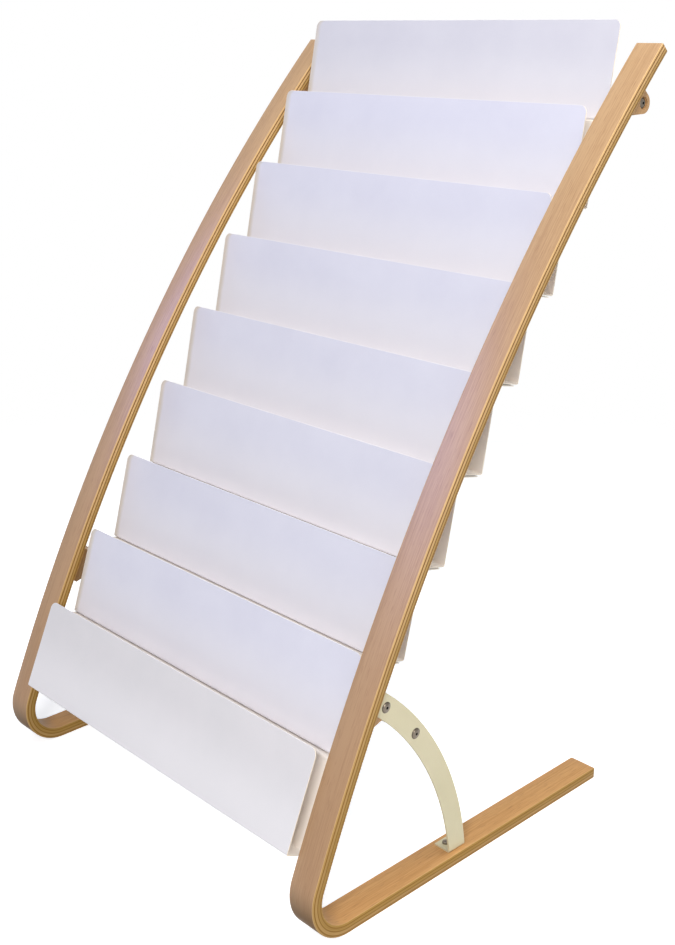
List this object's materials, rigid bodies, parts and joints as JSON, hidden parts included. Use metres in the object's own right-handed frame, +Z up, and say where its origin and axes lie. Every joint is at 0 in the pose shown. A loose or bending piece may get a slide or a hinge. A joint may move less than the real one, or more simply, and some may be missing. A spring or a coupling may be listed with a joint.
{
  "type": "brochure display stand",
  "caption": "Floor-standing brochure rack: open sheet-steel trays rise in leaning steps between two bent laminated-wood side frames held by arc braces.",
  "frame": {"origin": "on the floor, under the middle of the stand's box", "axes": "+X across the stand to the right seen from its front, +Y from its front to its back, +Z up"},
  "size_m": [0.814, 0.7536, 1.2724],
  "materials": {
    "beech": "clear-lacquered laminated beech",
    "dowel_beech": "plain turned beech",
    "white_steel": "satin powder coat on sheet steel",
    "cream_steel": "satin powder coat on flat steel",
    "bright_steel": "nickel-plated",
    "nylon": "moulded"
  },
  "bodies": {
    "root": {"right_side_frame": "beech", "left_side_frame": "beech", "upper_right_lug": "beech", "upper_left_lug": "beech", "lower_right_lug": "beech", "lower_left_lug": "beech", "right_arc_brace": "cream_steel", "left_arc_brace": "cream_steel", "header_panel": "white_steel", "tray_rivets": "bright_steel", "tray_spacers": "nylon", "lug_dowels": "dowel_beech", "upper_frame_bolts": "bright_steel", "lower_frame_bolts": "bright_steel", "frame_nuts": "bright_steel", "stretcher_rod": "cream_steel", "stretcher_bolts": "bright_steel", "foot_screws": "bright_steel", "tray_1": "white_steel", "tray_2": "white_steel", "tray_3": "white_steel", "tray_4": "white_steel", "tray_5": "white_steel", "tray_6": "white_steel", "tray_7": "white_steel", "tray_8": "white_steel"}
  },
  "joints": []
}
